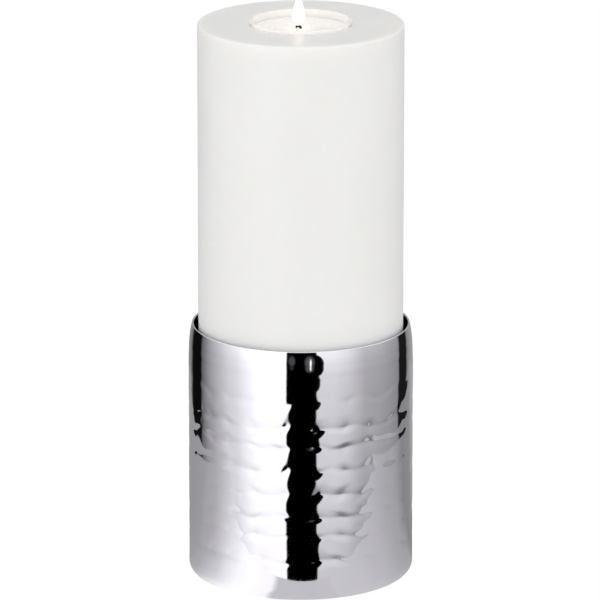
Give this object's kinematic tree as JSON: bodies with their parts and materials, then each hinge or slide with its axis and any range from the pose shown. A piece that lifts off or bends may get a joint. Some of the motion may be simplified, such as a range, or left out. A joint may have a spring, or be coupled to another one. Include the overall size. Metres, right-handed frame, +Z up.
{
  "type": "candle ring",
  "caption": "Hammered polished metal sleeve that stands on felt and holds a white pillar candle, whose top has a bore for a clear-cup tealight; candle and tealight lift out.",
  "frame": {"origin": "centre of the footprint, on the surface that the felt pad rests on", "axes": "+Z up along the axis of the sleeve and the candle; -Y towards the viewer of the picture; the burnt wick curls towards -X"},
  "size_m": [0.088, 0.088, 0.2222],
  "materials": {
    "polished_metal": "hammered, then polished to a mirror, bright nickel or stainless steel",
    "plain_steel": "plain sheet steel",
    "felt": "pressed black felt",
    "candle_wax": "hard white wax, satin, slightly translucent",
    "clear_cup": "clear moulded polycarbonate",
    "tealight_wax": "white wax, partly molten, glossy",
    "tin": "stamped tin sheet",
    "burnt_wick": "cotton cord, charred above the wax"
  },
  "bodies": {
    "holder": {"hammered_sleeve": "polished_metal", "base_disc": "plain_steel", "felt_pad": "felt"},
    "candle": {"candle_body": "candle_wax"},
    "tealight": {"tealight_cup": "clear_cup", "tealight_wax": "tealight_wax", "wick_clip": "tin", "wick": "burnt_wick"}
  },
  "joints": [
    {"name": "candle_lift", "type": "slide", "parent": "holder", "child": "candle", "axis": [0, 0, 1], "range_m": [0, 0.115]},
    {"name": "tealight_lift", "type": "slide", "parent": "candle", "child": "tealight", "axis": [0, 0, 1], "range_m": [0, 0.03]}
  ]
}
